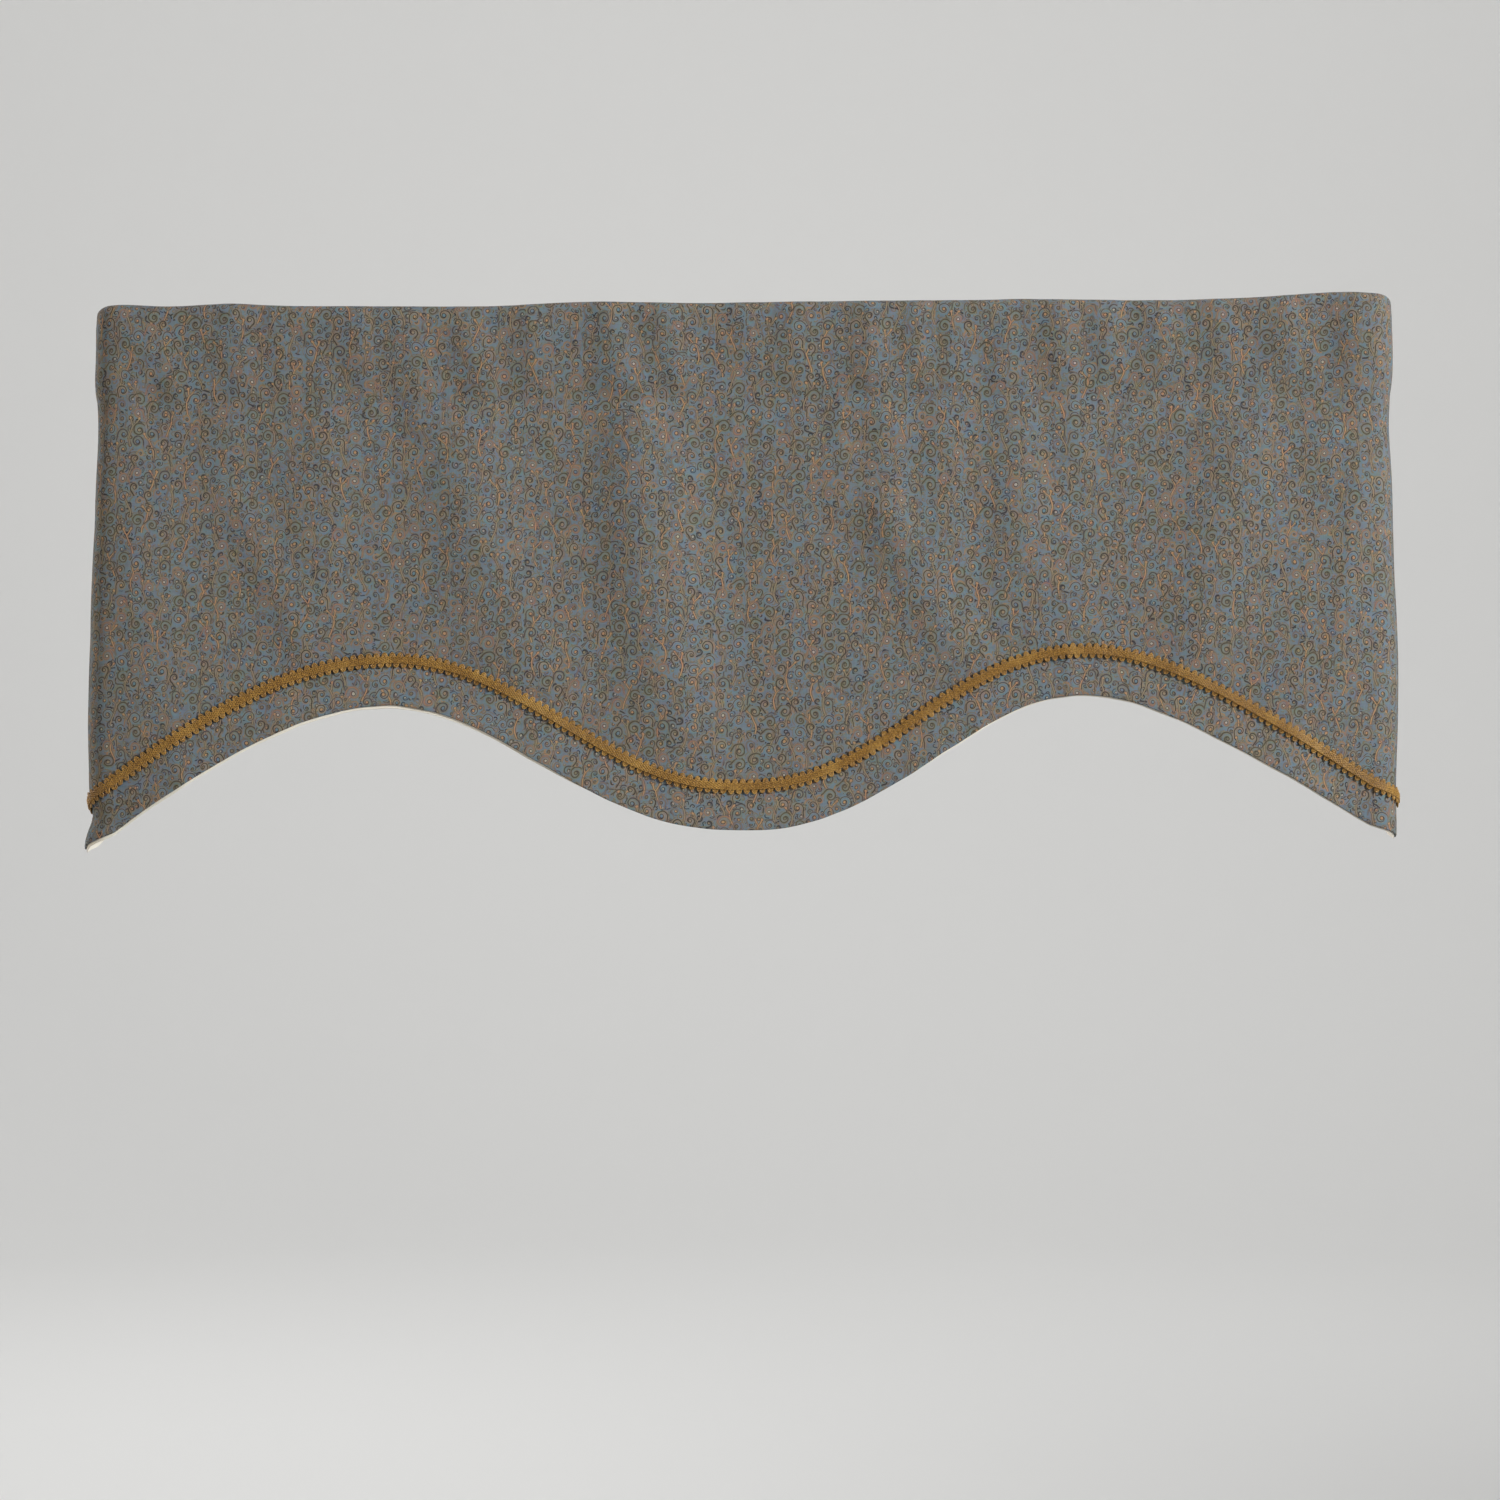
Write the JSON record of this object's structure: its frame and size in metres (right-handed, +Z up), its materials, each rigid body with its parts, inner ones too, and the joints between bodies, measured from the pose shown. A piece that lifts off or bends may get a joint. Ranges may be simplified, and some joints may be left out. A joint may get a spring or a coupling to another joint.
{
  "type": "cornice valance",
  "caption": "Lined cornice valance with a rod pocket, side returns and a wavy braid-trimmed lower edge.",
  "frame": {"origin": "middle of the top edge, over the centre line of the rod pocket", "axes": "+X along the width, +Y back towards the wall, +Z up"},
  "size_m": [1.0486, 0.0986, 0.4433],
  "materials": {
    "face_cloth": "blue-grey printed cotton, small scrolls in dull purple and copper, matte plain weave",
    "lining_cloth": "cream lining sateen, matte",
    "gold_braid": "old-gold rayon gimp with looped edges, soft sheen"
  },
  "bodies": {
    "root": {"face_panel": "face_cloth", "pocket_back": "face_cloth", "lining": "lining_cloth", "gimp_braid": "gold_braid"}
  },
  "joints": []
}
